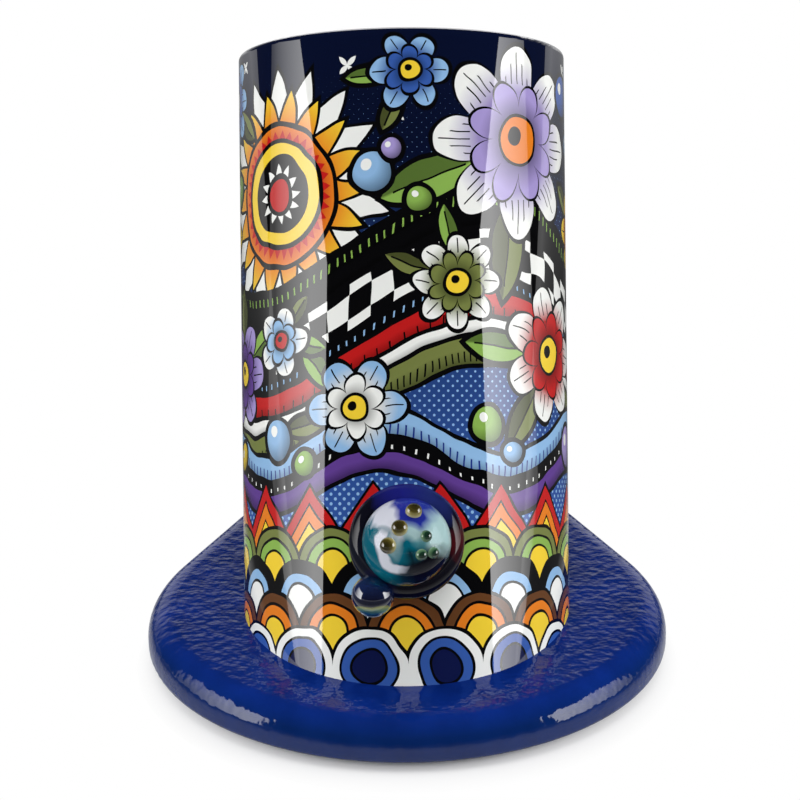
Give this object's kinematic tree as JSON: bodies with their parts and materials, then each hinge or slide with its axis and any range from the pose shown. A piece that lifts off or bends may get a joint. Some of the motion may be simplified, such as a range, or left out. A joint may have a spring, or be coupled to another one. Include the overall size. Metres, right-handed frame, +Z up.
{
  "type": "desktop herb vaporizer",
  "caption": "Leaning printed tube on a blue teardrop base plate, with a lamp-worked glass heat control at the front and a glass-sleeved heater outlet at the rear.",
  "frame": {"origin": "on the non-slip pad's underside, below the point where the tube's axis meets the base plate's top", "axes": "+Z up, +X to the right seen from the control side, +Y towards the rear, the way the tube leans"},
  "size_m": [0.1422, 0.1884, 0.1672],
  "materials": {
    "base_paint": "hammered gloss paint",
    "pad_rubber": "matte",
    "tube_print": "gloss clear coat over a colour print",
    "plate_anodised": "black anodised",
    "bare_aluminium": "turned",
    "collar_metal": "turned and polished",
    "black_anodised": "black anodised",
    "screw_steel": "zinc plated",
    "heater_ceramic": "unglazed",
    "clear_glass": "clear borosilicate",
    "seal_silicone": "silicone",
    "gland_rubber": "moulded",
    "turned_brass": "turned",
    "black_plastic": "moulded",
    "knob_glass": "lamp-worked blue and teal",
    "bead_glass": "lamp-worked navy",
    "dot_glass": "opaque olive and green",
    "board_green": "solder mask",
    "choke_winding": "enamelled copper wire",
    "capacitor_case": "moulded box",
    "terminal_plastic": "moulded",
    "lead_heat": "silicone sleeve",
    "lead_control": "insulated wire"
  },
  "bodies": {
    "housing": {"base_plate": "base_paint", "non_slip_pad": "pad_rubber", "tube_housing": "tube_print", "top_plate": "plate_anodised", "foot_flange": "bare_aluminium", "chassis_plate": "bare_aluminium", "heater_collar": "collar_metal", "collar_saddle": "bare_aluminium", "collar_nut": "bare_aluminium", "triac_heatsink": "black_anodised", "dimmer_saddle": "bare_aluminium", "dimmer_washer": "bare_aluminium", "base_screws": "screw_steel", "flange_set_screws": "screw_steel", "top_screws": "screw_steel", "heater_screws": "screw_steel", "board_screws": "screw_steel", "dimmer_nut": "screw_steel", "heater_rod": "heater_ceramic", "heater_block": "heater_ceramic", "heater_sleeve": "clear_glass", "sleeve_seals": "seal_silicone", "cord_gland": "gland_rubber", "dimmer_bushing": "turned_brass", "board_standoffs": "turned_brass", "dimmer_body": "black_plastic", "triac": "black_plastic", "control_board": "board_green", "filter_choke": "choke_winding", "filter_capacitor": "capacitor_case", "terminal_block": "terminal_plastic", "heater_leads": "lead_heat", "dimmer_leads": "lead_control"},
    "knob": {"knob_glass": "knob_glass", "knob_insert": "turned_brass", "pointer_bead": "bead_glass", "knob_dots": "dot_glass", "dimmer_shaft": "screw_steel", "dimmer_wiper": "black_plastic"}
  },
  "joints": [
    {"name": "knob_turn", "type": "hinge", "parent": "housing", "child": "knob", "pos_m": [0, 0.0071, 0.02932], "axis": [0, 0.9171, -0.3987], "range_deg": [0, 300]}
  ]
}
